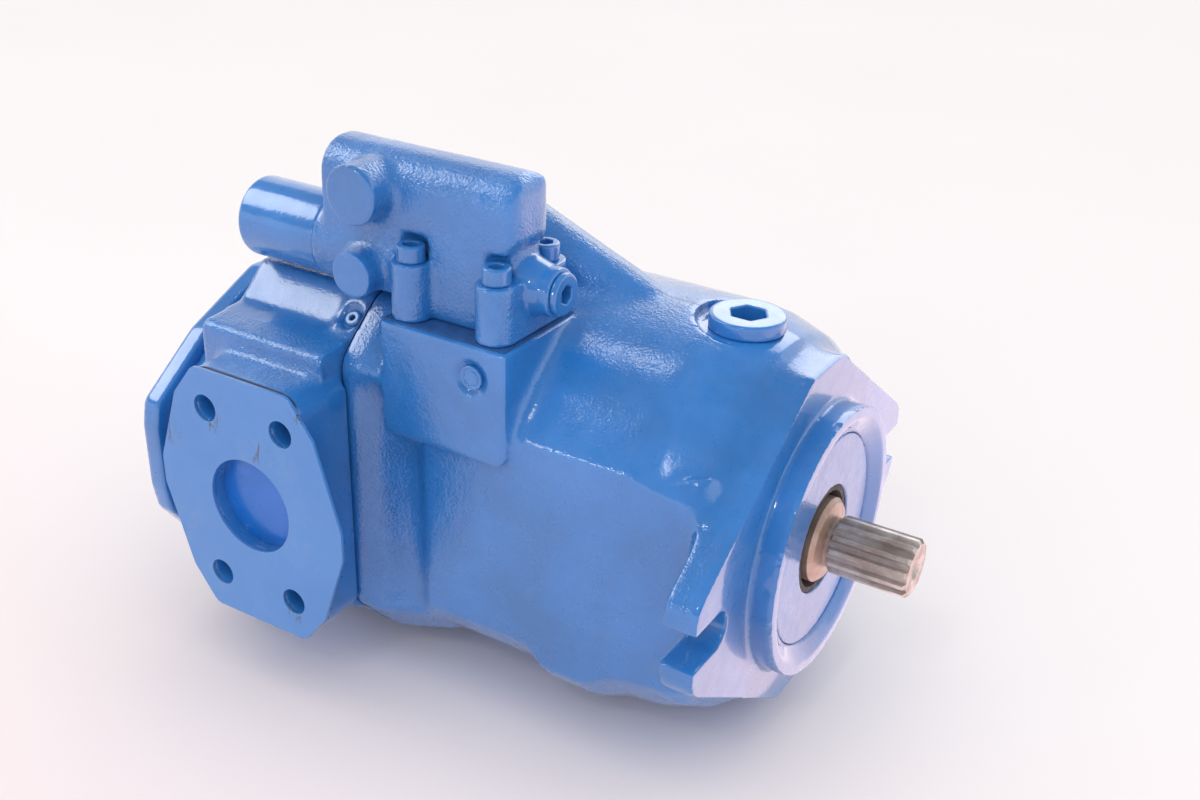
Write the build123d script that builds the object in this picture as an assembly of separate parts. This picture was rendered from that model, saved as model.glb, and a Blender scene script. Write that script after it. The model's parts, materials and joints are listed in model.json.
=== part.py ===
from build123d import *
from math import atan2, cos, degrees, pi, radians, sin, sqrt
import os

# Variable-displacement axial piston pump, 45 cm3 per turn, millimetres.
# +X runs along the drive shaft towards its splined end, +Z is up.
# The origin is where the shaft axis crosses the mounting face.
# -Y is the suction side, +Y is the pressure side.
# The pump stands at zero displacement: the swash plate is square to the shaft.

# ---- driving dimensions ----------------------------------------------------------------
PILOT_R = 50.8            # SAE J744 B pilot, 101.6 mm across
PILOT_H = 9.5
FLANGE_T = 12.5
SLOT_W = 14.3             # open bolt slots
BOLT_SPACING = 146.0
EAR_Y = 88.5
EAR_Z = 16.0

BARREL_R = 77.5
FLAT_Y = 65.7             # cast side flats of the barrel
RIM_X = -124.0            # where the rear rim has run out into the barrel
RIM_BACK = -147.0         # where its taper starts
JOINT_X = -154.5          # rear face of the housing
RIM_Y = 72.0
RIM_TOP = 73.5
RIM_BOTTOM = -71.0
RIM_CORNER_Y = 50.0
PLATE_RIM_X = -165.5      # rear of the port plate's rim
SCREW_Y = 50.0            # housing screws, four at (+-Y, +-Z)
SCREW_Z = 52.0
GASKET_T = 0.5
PLATE_X = JOINT_X - GASKET_T          # front face of the port plate
PLATE_REAR = -212.0
NECK_REAR = -229.0
END_X = -238.0            # rear face of the end cover

PORT_X = -177.4           # both ports
PORT_FACE = 98.0
SUCTION_R = 19.0
PRESSURE_R = 12.7
SUCTION_BOLTS = (35.7, 69.9)          # along X, along Z
PRESSURE_BOLTS = (26.2, 52.4)

PAD_X = (-137.7, -85.3)   # control valve pad
PAD_Y = -70.0
PAD_Z = 73.5
PAD_LOW = 30.5            # underside of the pad
VALVE_Y = -46.0           # spool axis
VALVE_Z = 89.5
VALVE_LEFT = -170.3
VALVE_RIGHT = -89.7
VALVE_TOP = 128.0
CAP_X = -174.5            # where the round cap meets the valve body
CAP_END = -211.8
CAP_R = 14.9
GALLERY_Z = 114.0
SEAT_X = -173.5           # where the spring seat meets the spool
VALVE_SCREWS_X = (-130.0, -95.0)
VALVE_SCREWS_Y = (-61.0, -32.0)
HEAD_SEAT_Z = 94.3

DRAIN_X = -31.7           # case drain ports, top and bottom
DRAIN_FLOOR = 73.5

PISTONS = 9
PITCH_R = 34.0            # piston pitch circle
PISTON_R = 8.5
SWASH_X = -62.0           # running face and pivot of the swash plate
BLOCK_FRONT = -84.0
BLOCK_REAR = -150.4
BLOCK_R = 47.0
CAVITY_R = 60.0
CRADLE_R = 34.0           # curved back of the swash plate
SHELL_T = 2.5

FRONT_BEARING = (-26.25, -8.0, 17.5, 36.0)     # x0, x1, bore radius, outer radius
REAR_BEARING = (-171.25, -155.0, 12.5, 26.0)
SEAL_R = 40.0
SHAFT_SEAL_R = 16.0
SHAFT_END = 41.0
SPLINE_TIP_R = 10.9       # 7/8 inch, 13 teeth, 16/32 pitch
SPLINE_ROOT_R = 9.35
HUB_TIP_R = 15.5
HUB_ROOT_R = 13.9
FIT = 0.04                # running clearance

RIDGE_R = 13.0            # cast ridge over the stroking piston
RIDGE_SLOPE = 22.3        # degrees down towards the flange
RIDGE_X = -63.5           # where the ridge axis is RIDGE_Z high
RIDGE_Z = 63.6


# ---- shape helpers ------------------------------------------------------------------------
def rod_x(r, x0, x1, y=0.0, z=0.0):
    """Cylinder along X."""
    return Pos((x0 + x1) / 2, y, z) * Rot(0, 90, 0) * Cylinder(r, abs(x1 - x0))


def rod_y(r, y0, y1, x=0.0, z=0.0):
    """Cylinder along Y."""
    return Pos(x, (y0 + y1) / 2, z) * Rot(90, 0, 0) * Cylinder(r, abs(y1 - y0))


def rod_z(r, z0, z1, x=0.0, y=0.0):
    """Cylinder along Z."""
    return Pos(x, y, (z0 + z1) / 2) * Cylinder(r, abs(z1 - z0))


def block(x0, x1, y0, y1, z0, z1):
    """Box from its two corners."""
    middle = Pos((x0 + x1) / 2, (y0 + y1) / 2, (z0 + z1) / 2)
    return middle * Box(abs(x1 - x0), abs(y1 - y0), abs(z1 - z0))


def turned(*profile):
    """Solid of revolution about X from (x, radius) points."""
    wire = Polyline(*[(x, r, 0) for x, r in profile], close=True)
    return revolve(make_face(wire), Axis.X)


def outline(points, radius=0.0):
    """Closed polygon with every corner rounded."""
    face = make_face(Polyline(*points, close=True))
    if radius:
        face = fillet(face.vertices(), radius)
    return face


def slab_x(face, x0, x1):
    """Outline drawn in (Y, Z), extruded from x0 to x1."""
    return extrude(Plane.YZ.offset(min(x0, x1)) * face, abs(x1 - x0))


def slab_y(face, y0, y1):
    """Outline drawn in (X, Z), extruded from y0 to y1."""
    plane = Plane(origin=(0, max(y0, y1), 0), x_dir=(1, 0, 0), z_dir=(0, -1, 0))
    return extrude(plane * face, abs(y1 - y0))


def hexagon(across_flats):
    """Hexagon with the given width across its flats."""
    return RegularPolygon(across_flats / 2, 6, major_radius=False)


def ball_x(r, x, y=0.0):
    """Ball with its poles on a line along X."""
    return Pos(x, y, 0) * Rot(0, 90, 0) * Sphere(r)


def around(shape, count):
    """Copies of a shape spaced evenly about the X axis."""
    return [Rot(360 * i / count, 0, 0) * shape for i in range(count)]


def splined(tip_r, root_r, teeth, x0, x1):
    """Straight-sided spline, its teeth a little narrower than the gaps."""
    pitch = 2 * pi / teeth
    points = []
    for i in range(teeth):
        for radius, share in ((root_r, -0.29), (tip_r, -0.17), (tip_r, 0.17), (root_r, 0.29)):
            angle = pitch * (i + share)
            points.append((radius * cos(angle), radius * sin(angle)))
    return slab_x(outline(points), x0, x1)


def coil(radius, wire, x0, x1, turns, y=0.0, z=0.0):
    """Compression spring along X."""
    length = abs(x1 - x0) - wire
    path = Helix(pitch=length / turns, height=length, radius=radius)
    section = Plane(origin=path @ 0, z_dir=path % 0) * Circle(wire / 2)
    spring = sweep(section, path=path, is_frenet=True)
    return Pos(min(x0, x1) + wire / 2, y, z) * Rot(0, 90, 0) * spring


def socket_screw(thread, length, head_r, head_h, key):
    """Socket head cap screw, pointing down Z, its head seat at the origin."""
    screw = rod_z(head_r, 0, head_h) + rod_z(thread / 2, -length, 0)
    screw -= Pos(0, 0, head_h) * extrude(hexagon(key), -head_h * 0.55)
    top = screw.edges().filter_by(GeomType.CIRCLE).filter_by(lambda e: abs(e.radius - head_r) < 0.01)
    return chamfer(top.sort_by(Axis.Z)[-1:], 0.5)


def screw_plug(thread, length, head_r, head_h, key):
    """Socket plug with a round collar, pointing down Z, its collar seat at the origin."""
    plug = rod_z(head_r, 0, head_h) + rod_z(thread / 2, -length, 0)
    plug -= Pos(0, 0, head_h) * extrude(hexagon(key), -(head_h + length * 0.45))
    rim = plug.edges().filter_by(GeomType.CIRCLE).filter_by(lambda e: abs(e.radius - head_r) < 0.01)
    return chamfer(rim.sort_by(Axis.Z)[-1:], 0.6)


def corners(a, b):
    """The four sign combinations of (a, b)."""
    return [(sa * a, sb * b) for sa in (-1, 1) for sb in (-1, 1)]


# ---- casting and covers ----------------------------------------------------------------------
def flange_face():
    """Two-bolt diamond of the mounting flange."""
    top = 67.0
    flat = 13.0
    points = [(-flat, top), (flat, top), (EAR_Y, EAR_Z), (EAR_Y, -EAR_Z)]
    points += [(flat, -top), (-flat, -top), (-EAR_Y, -EAR_Z), (-EAR_Y, EAR_Z)]
    return outline(points, 8.0)


def rim_face():
    """Octagon where the housing and port plate meet."""
    high = RIM_TOP - 18.5
    low = RIM_BOTTOM + 24
    points = [(-RIM_CORNER_Y, RIM_TOP), (RIM_CORNER_Y, RIM_TOP), (RIM_Y, high), (RIM_Y, low)]
    points += [(RIM_CORNER_Y, RIM_BOTTOM), (-RIM_CORNER_Y, RIM_BOTTOM), (-RIM_Y, low), (-RIM_Y, high)]
    return outline(points, 12.0)


def on_ridge(along, shape):
    """Places a shape drawn along X on the ridge axis, measured back from RIDGE_X."""
    dx = -along * cos(radians(RIDGE_SLOPE))
    dz = along * sin(radians(RIDGE_SLOPE))
    return Pos(RIDGE_X + dx, 0, RIDGE_Z + dz) * Rot(0, RIDGE_SLOPE, 0) * shape


def pump_housing():
    """Cast housing: flange, pilot, barrel, rear rim, valve pad and piston ridge."""
    body = slab_x(flange_face(), -FLANGE_T, 0)
    barrel = turned((-2, 0), (-2, 61), (-15, 71.5), (-30, 76.5), (-40, BARREL_R),
                    (RIM_X - 8, BARREL_R), (RIM_X - 8, 0))
    sump = turned((-36, 0), (-36, 75), (-55, 82), (-72, 82), (-80, 77), (-80, 0))
    sump &= block(-90, 0, -90, 90, -90, -18)
    sides = block(-170, 0, -FLAT_Y, FLAT_Y, -95, 95)
    body += (barrel + sump) & sides
    body += slab_x(rim_face(), JOINT_X, RIM_BACK)
    body += extrude(Plane.YZ.offset(RIM_BACK) * rim_face(), RIM_X - RIM_BACK, taper=16.0)
    pad = block(*PAD_X, PAD_Y, -8, PAD_LOW, PAD_Z)
    low_edges = pad.edges().filter_by(Axis.Y).sort_by(Axis.Z)[:2]
    body += fillet(low_edges, 6.0)
    ridge = on_ridge(38.0, rod_x(RIDGE_R, -50, 50))
    web = on_ridge(38.0, block(-50, 50, -RIDGE_R, RIDGE_R, -30, 0))
    body += (ridge + web) & block(JOINT_X + 14, -20, -20, 20, 30, 130)
    body += rod_x(PILOT_R, -1, PILOT_H)

    # shaft seal, bearing and rotating group
    body -= turned((-2, 0), (-2, SEAL_R), (6, SEAL_R), (PILOT_H, 46.5),
                   (PILOT_H + 1, 46.5), (PILOT_H + 1, 0))
    body -= rod_x(30.0, -9, -1)
    body -= rod_x(FRONT_BEARING[3], SWASH_X + 2, FRONT_BEARING[1])
    body -= rod_x(CAVITY_R, JOINT_X - 1, -38)
    saddles = block(SWASH_X, -37, 30, 58, -38, 38) + block(SWASH_X, -37, -58, -30, -38, 38)
    body += saddles & rod_x(CAVITY_R + 1, SWASH_X, -37)
    body -= rod_y(CRADLE_R + SHELL_T, -54, 54, SWASH_X, 0)
    body -= on_ridge(36.0, rod_x(9.0 + FIT, -40, 40))

    # mounting slots, housing screws, drain ports and valve pad
    for side in (-1, 1):
        y = side * BOLT_SPACING / 2
        body -= rod_x(SLOT_W / 2, -FLANGE_T - 4, 1, y, 0)
        body -= block(-FLANGE_T - 4, 1, y, side * 100, -SLOT_W / 2, SLOT_W / 2)
        body -= rod_z(18.4, side * DRAIN_FLOOR, side * 90, DRAIN_X, 0)
        body -= rod_z(11.0, side * 50, side * 90, DRAIN_X, 0)
    for y, z in corners(SCREW_Y, SCREW_Z):
        body -= rod_x(6.0, JOINT_X - 1, JOINT_X + 26, y, z)
    for x in VALVE_SCREWS_X:
        for y in VALVE_SCREWS_Y:
            body -= rod_z(3.0, PAD_Z - 7.5, PAD_Z + 1, x, y)
    body -= rod_y(6.3, PAD_Y - 1, PAD_Y + 1.5, -99.5, 62.0)
    body -= rod_y(3.6, PAD_Y - 1, PAD_Y + 9, -99.5, 62.0)
    return body


def kidney(r0, r1, half_angle, centre_angle, x0, x1):
    """Curved slot about the X axis, its middle at centre_angle degrees from +Y."""
    ring = rod_x(r1, x0, x1) - rod_x(r0, min(x0, x1) - 1, max(x0, x1) + 1)
    reach = 90.0
    a = radians(centre_angle)
    h = radians(half_angle)
    points = [(0, 0)]
    points += [(reach * cos(a + h * s), reach * sin(a + h * s)) for s in (-1, -0.5, 0, 0.5, 1)]
    return ring & slab_x(outline(points), min(x0, x1), max(x0, x1))


def port_plate_face():
    """Outline of the port plate body with its cut corners."""
    points = [(-48.5, 72.7), (48.5, 72.7), (61.4, 60.7), (80, 58.5), (80, -58.5), (61.4, -60.7)]
    points += [(48.5, -72.7), (-44, -72.7), (-60, -58), (-78, -48), (-82, -44), (-82, 58.5), (-61.4, 60.7)]
    return outline(points, 3.0)


def end_face(size=1.0):
    """Outline of the end cover, and of the seat it is screwed to at a smaller size."""
    half = [(30, 59), (64, 43.5), (91, 23), (93, 13), (93, -13), (91, -24), (80, -38.5), (30, -62)]
    other = [(-y, z) for y, z in reversed(half)]
    return outline([(y * size, z * size) for y, z in half + other], 6.0)


def on_corner(shape):
    """Places a shape drawn along Z on the cut top corner of the port plate's rim."""
    return Pos(-160, -57.4, 63.9) * Rot(40, 0, 0) * shape


def port_plate():
    """Rear casting with the suction and pressure ports and the rear bearing seat."""
    body = slab_x(port_plate_face(), PLATE_REAR, PLATE_X) + slab_x(rim_face(), PLATE_RIM_X, PLATE_X)
    body += slab_x(end_face(0.94), NECK_REAR, PLATE_REAR + 2)
    suction = RectangleRounded(53, 101, 9)
    pressure = RectangleRounded(44, 80, 9)
    body += slab_y(Pos(PORT_X, 0) * suction, -PORT_FACE, -60)
    body += slab_y(Pos(PORT_X, 0) * pressure, 60, PORT_FACE)
    body -= block(PLATE_X, PLATE_X + 20, -RIM_Y - 1, RIM_Y + 1, -70, 70)
    body -= rod_x(REAR_BEARING[3], REAR_BEARING[0], PLATE_X + 1)
    body -= rod_x(16.0, NECK_REAR - 1, REAR_BEARING[0] + 1)
    body -= rod_y(SUCTION_R, -PORT_FACE - 1, -32, PORT_X, 0)
    body -= rod_y(PRESSURE_R, 32, PORT_FACE + 1, PORT_X, 0)
    body -= kidney(29.0, 39.0, 52, 180, PORT_X, PLATE_X + 1)
    body -= kidney(29.5, 38.5, 46, 0, PORT_X, PLATE_X + 1)
    for a, b in corners(SUCTION_BOLTS[0] / 2, SUCTION_BOLTS[1] / 2):
        body -= rod_y(5.1, -PORT_FACE - 1, -PORT_FACE + 22, PORT_X + a, b)
    for a, b in corners(PRESSURE_BOLTS[0] / 2, PRESSURE_BOLTS[1] / 2):
        body -= rod_y(4.25, PORT_FACE - 20, PORT_FACE + 1, PORT_X + a, b)
    for y, z in corners(SCREW_Y, SCREW_Z):
        body -= rod_x(6.5, PLATE_REAR - 1, PLATE_X + 1, y, z)
        body -= rod_x(9.6, NECK_REAR - 1, PLATE_REAR + 13, y, z)
    for y in (-73, 73):
        body -= rod_x(5.0, NECK_REAR - 1, NECK_REAR + 24, y, 0)
    body -= rod_x(42.0, NECK_REAR - 1, NECK_REAR + 2.45) - rod_x(38.5, NECK_REAR - 2, NECK_REAR + 3)
    body -= on_corner(rod_z(2.6, -4.8, 8) + rod_z(4.9, 0, 9))
    return body


def housing_gasket():
    """Paper gasket between the housing and the port plate."""
    sheet = slab_x(rim_face(), PLATE_X, JOINT_X)
    sheet -= rod_x(CAVITY_R + 1, PLATE_X - 1, JOINT_X + 1)
    for y, z in corners(SCREW_Y, SCREW_Z):
        sheet -= rod_x(6.8, PLATE_X - 1, JOINT_X + 1, y, z)
    return sheet


def port_plate_screws():
    """Four M12 socket screws that hold the port plate to the housing."""
    screw = socket_screw(12, 68, 9.0, 12.0, 10.0)
    seat = PLATE_REAR + 13
    return [Pos(seat, y, z) * Rot(0, -90, 0) * screw for y, z in corners(SCREW_Y, SCREW_Z)]


def end_cover():
    """Plate that closes the through-drive end."""
    cover = slab_x(end_face(), END_X, NECK_REAR)
    cover = fillet(cover.faces().sort_by(Axis.X)[0].edges(), 2.0)
    cover += rod_x(15.9, NECK_REAR, NECK_REAR + 6)
    for y in (-73, 73):
        cover -= rod_x(5.5, END_X - 1, NECK_REAR + 1, y, 0)
    return cover


def end_cover_screws():
    """Two M10 hex head screws."""
    head = extrude(hexagon(16.0), 6.4)
    screw = head + rod_z(5.0, -30, 0)
    return [Pos(END_X, y, 0) * Rot(0, -90, 0) * screw for y in (-73, 73)]


def ring_seal(radius, section, x):
    """O-ring about the X axis."""
    return Pos(x, 0, 0) * Rot(0, 90, 0) * Torus(radius, section / 2)


# ---- port covers and plugs -----------------------------------------------------------------
def flange_plate_face(half_x, half_z, top_x, side_x):
    """Bulging octagon of a port cover, drawn in (X, Z)."""
    points = [(-top_x, half_z), (top_x, half_z), (side_x, half_z * 0.72), (half_x, half_z * 0.06)]
    points += [(half_x, -half_z * 0.16), (side_x, -half_z * 0.74), (top_x, -half_z)]
    points += [(-top_x, -half_z), (-side_x, -half_z * 0.72), (-half_x, -half_z * 0.06)]
    points += [(-half_x, half_z * 0.16), (-side_x, half_z * 0.74)]
    return outline(points, 5.0)


def port_cover(side, half_x, half_z, bolts, bolt_r, opening_r):
    """Thin shipping plate over a port."""
    face = flange_plate_face(half_x, half_z, half_x * 0.52, half_x * 0.76)
    near = side * PORT_FACE
    plate = slab_y(Pos(PORT_X, 0) * face, near, near + side * 1.2)
    for a, b in corners(bolts[0] / 2, bolts[1] / 2):
        plate -= rod_y(bolt_r, near - 3, near + 3, PORT_X + a, b)
    plate -= rod_y(opening_r, near - 3, near + 3, PORT_X, 0)
    return plate


def port_plug(side, radius):
    """Plastic plug pushed into a port, its face a little inside."""
    face = side * (PORT_FACE - 5)
    back = side * (PORT_FACE - 17)
    plug = rod_y(radius - 0.1, face, back, PORT_X, 0)
    plug -= rod_y(radius - 2.2, face - side * 2.0, back - side * 1, PORT_X, 0)
    return plug


def drain_plug(side):
    """7/8 inch case drain plug."""
    plug = screw_plug(21.8, 16, 13.7, 5.5, 12.0)
    turn = 0 if side > 0 else 180
    return Pos(DRAIN_X, 0, side * DRAIN_FLOOR) * Rot(turn, 0, 0) * plug


def pad_plug():
    """Small pressed channel plug in the front of the valve pad."""
    plug = rod_z(4.4, 0, 1.3) + rod_z(3.5, -6, 0)
    plug -= rod_z(3.2, 0.9, 2) - rod_z(2.7, 0, 3)
    return Pos(-99.5, PAD_Y + 1.5, 62.0) * Rot(90, 0, 0) * plug


def port_plate_plug():
    """Measuring-point plug on the port plate."""
    plug = screw_plug(5.0, 4.6, 3.3, 1.2, 2.0)
    return on_corner(plug)


# ---- shaft and its bearings ------------------------------------------------------------------
def drive_shaft():
    """Shaft: output spline, seal land, bearing seats and block spline."""
    front_x0, front_x1, front_r, _ = FRONT_BEARING
    rear_x0, rear_x1, rear_r, _ = REAR_BEARING
    shaft = turned(
        (-196, 0), (-196, 9), (-195, 10), (rear_x0 - 1, 10), (rear_x0 - 1, rear_r),
        (rear_x1, rear_r), (rear_x1, 13.6), (-112, 13.6), (-112, 14.2), (-88, 14.2),
        (-88, 13.6), (-64, 13.6), (-58, 21.5), (front_x0, 21.5), (front_x0, front_r),
        (front_x1, front_r), (front_x1, SHAFT_SEAL_R), (6.6, SHAFT_SEAL_R), (8.2, 14.4),
        (9.6, 9.2), (12, 9.2), (12, 0))
    shaft += splined(HUB_TIP_R - 0.1, HUB_ROOT_R - 0.1, 20, -146, -113)
    shaft += splined(HUB_TIP_R - 0.1, HUB_ROOT_R - 0.1, 20, -86, -70)
    end = splined(SPLINE_TIP_R, SPLINE_ROOT_R, 13, 11, SHAFT_END)
    shaft += end & turned((11, 0), (11, 9.6), (12.6, 11.5), (39.4, 11.5), (SHAFT_END, 9.7), (SHAFT_END, 0))
    shaft -= turned((22, 0), (24, 2.6), (39, 2.6), (SHAFT_END + 1, 5.2), (SHAFT_END + 1, 0))
    return shaft


def bearing_sizes(bearing):
    """Middle radii and faces shared by the three pieces of a tapered bearing."""
    x0, x1, bore, outer = bearing
    return x0, x1, bore, outer, bore + (outer - bore) * 0.30, bore + (outer - bore) * 0.72


def tapered_bearing(bearing, wide_at):
    """Cup, cone and caged rollers; wide_at is the x of the large roller end."""
    x0, x1, bore, outer, inner, race = bearing_sizes(bearing)
    width = x1 - x0
    big, small = (x0, x1) if wide_at == x0 else (x1, x0)
    step = width * (1 if small > big else -1)

    def at(share):
        return big + step * share

    flare = (outer - bore) * 0.13
    cup = turned((at(0.14), outer), (at(1), outer), (at(1), race - flare), (at(0.14), race + flare))
    cone = turned((at(0), bore), (at(0.9), bore), (at(0.9), inner - flare), (at(0.1), inner + flare),
                  (at(0.1), inner + flare + 1.6), (at(0), inner + flare + 1.6))
    gap = 0.12
    mid = (inner + race) / 2
    size = (race - inner) / 2 - gap
    tilt = degrees(atan2(2 * flare, width * 0.86))
    count = 17
    roller = Pos(at(0.5), mid, 0) * Rot(0, 0, -tilt if small > big else tilt)
    roller = roller * Rot(0, 90, 0) * Cylinder(size * 0.94, width * 0.66)
    cage = turned((at(0.15), mid + flare - 0.7), (at(0.95), mid - flare - 0.7),
                  (at(0.95), mid - flare + 0.7), (at(0.15), mid + flare + 0.7))
    rollers = cage
    for item in around(roller, count):
        rollers += item
    return cup, cone, rollers


def shaft_seal_case():
    """Steel case of the shaft seal, flush in the pilot."""
    case = turned((-2, 20.5), (-2, SEAL_R), (6, SEAL_R), (6, 20.5))
    case -= turned((-3, 22.5), (-3, 36), (3.5, 36), (3.5, 22.5))
    return case


def shaft_seal_lip():
    """Rubber lip that runs on the shaft."""
    return turned((0, SHAFT_SEAL_R + FIT), (5.4, 18.4), (5.4, 20.5), (-1.2, 20.5), (-1.2, 18.6))


# ---- rotating group --------------------------------------------------------------------------
def cylinder_block():
    """Nine-bore cylinder barrel, splined to the shaft."""
    barrel = rod_x(BLOCK_R, BLOCK_REAR, BLOCK_FRONT)
    barrel = chamfer(barrel.edges().filter_by(GeomType.CIRCLE), 2.0)
    barrel -= splined(HUB_TIP_R, HUB_ROOT_R, 20, BLOCK_REAR - 1, -111)
    barrel -= rod_x(21.5, -112, BLOCK_FRONT + 1)
    barrel -= rod_x(17.0, BLOCK_REAR - 1, -146)
    bore = rod_x(PISTON_R + FIT, -143, BLOCK_FRONT + 1, PITCH_R)
    slot = kidney(PITCH_R - 4.2, PITCH_R + 4.2, 10, 0, BLOCK_REAR - 1, -142)
    for cut in around(bore, PISTONS) + around(slot, PISTONS):
        barrel -= cut
    return barrel


def pistons():
    """Nine steel pistons with ball ends, at middle stroke."""
    centre = SWASH_X - 7.0
    body = rod_x(PISTON_R, centre - 62, centre - 9, PITCH_R)
    body = chamfer(body.edges().filter_by(GeomType.CIRCLE), 0.6)
    body += rod_x(4.4, centre - 10, centre, PITCH_R)
    body += ball_x(6.0, centre, PITCH_R)
    body -= rod_x(4.2, centre - 63, centre - 24, PITCH_R)
    body -= rod_x(0.8, centre - 30, centre + 8, PITCH_R)
    return around(body, PISTONS)


def slippers():
    """Nine bronze slippers swaged over the piston balls."""
    centre = SWASH_X - 7.0
    slipper = rod_x(10.6, SWASH_X - 3.0, SWASH_X - FIT, PITCH_R)
    slipper += rod_x(8.0, centre - 3.0, SWASH_X - 2, PITCH_R)
    slipper -= ball_x(6.0 + FIT, centre, PITCH_R)
    slipper -= rod_x(5.0, SWASH_X - 0.6, SWASH_X + 1, PITCH_R)
    return around(slipper, PISTONS)


def retaining_plate():
    """Plate that holds the slippers down on the swash plate."""
    rear, front = SWASH_X - 6.2, SWASH_X - 3.1
    plate = turned((rear, 23.5), (rear, 46), (front, 46), (front, 22.5))
    for hole in around(rod_x(8.4, SWASH_X - 7, SWASH_X - 2, PITCH_R), PISTONS):
        plate -= hole
    return plate


def retaining_ball():
    """Half ball on the shaft spline that presses on the retaining plate."""
    centre = SWASH_X - 12.0
    ball = ball_x(24.0 - 2 * FIT, centre) & rod_x(30, centre, SWASH_X - 4.5)
    ball += rod_x(21.2, -83.5, centre)
    ball -= splined(HUB_TIP_R, HUB_ROOT_R, 20, -90, -60)
    return ball


def centre_spring():
    """Spring in the block hub that loads the retaining ball."""
    return coil(18.2, 3.2, -111.9, -83.6, 3.5)


# ---- swash plate and its controls --------------------------------------------------------
def swash_plate():
    """Tilting plate with two curved backs and its control lugs."""
    plate = rod_x(46.5, SWASH_X, SWASH_X + 8)
    rails = rod_y(CRADLE_R - FIT, -52, 52, SWASH_X, 0) & block(SWASH_X, SWASH_X + 60, -52, 52, -40, 40)
    rails -= block(SWASH_X + 7, SWASH_X + 60, -30, 30, -50, 50)
    plate += rails & rod_x(58.5, SWASH_X, SWASH_X + 60)
    plate += block(SWASH_X, SWASH_X + 8, -9, 9, -58, 57)
    plate -= rod_x(23.5, SWASH_X - 1, SWASH_X + 9)
    return plate


def cradle_bearings():
    """Two curved needle-cage shells between the swash plate and its cradle."""
    ring = rod_y(CRADLE_R + SHELL_T - FIT, 32, 51, SWASH_X, 0) - rod_y(CRADLE_R, 31, 52, SWASH_X, 0)
    shell = ring & block(SWASH_X + 8.5, SWASH_X + 60, 0, 60, -40, 40)
    return [shell, mirror(shell, Plane.XZ)]


def stroking_piston():
    """Control piston that swings the swash plate back to zero."""
    piston = rod_x(9.0, -26, 26) + Pos(26, 0, 0) * Sphere(6.0)
    piston -= rod_x(6.0, -27, -4)
    return on_ridge(44.0, piston)


def stroking_spring():
    """Light spring behind the stroking piston."""
    return on_ridge(44.0, coil(4.6, 1.6, -31.5, -4.2, 6))


def return_guide():
    """Rod that carries the return spring, seated on the port plate."""
    rod = rod_x(2.6, PLATE_X + 2, SWASH_X - 0.3, 0, -53.6)
    rod += rod_x(4.9, SWASH_X - 4, SWASH_X - 0.3, 0, -53.6)
    return rod + rod_x(4.9, PLATE_X, PLATE_X + 3, 0, -53.6)


def return_spring():
    """Long spring that holds the swash plate against the stroking piston."""
    return coil(4.0, 1.5, PLATE_X + 3.1, SWASH_X - 4.1, 20, 0, -53.6)


def control_plate():
    """Lens plate between the block and the port plate, with its two kidneys."""
    plate = rod_x(46.0, PLATE_X, BLOCK_REAR - FIT)
    plate -= rod_x(17.5, PLATE_X - 1, BLOCK_REAR + 1)
    plate -= kidney(29.8, 38.2, 62, 180, PLATE_X - 1, BLOCK_REAR + 1)
    plate -= kidney(29.8, 38.2, 54, 0, PLATE_X - 1, BLOCK_REAR + 1)
    return plate


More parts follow.
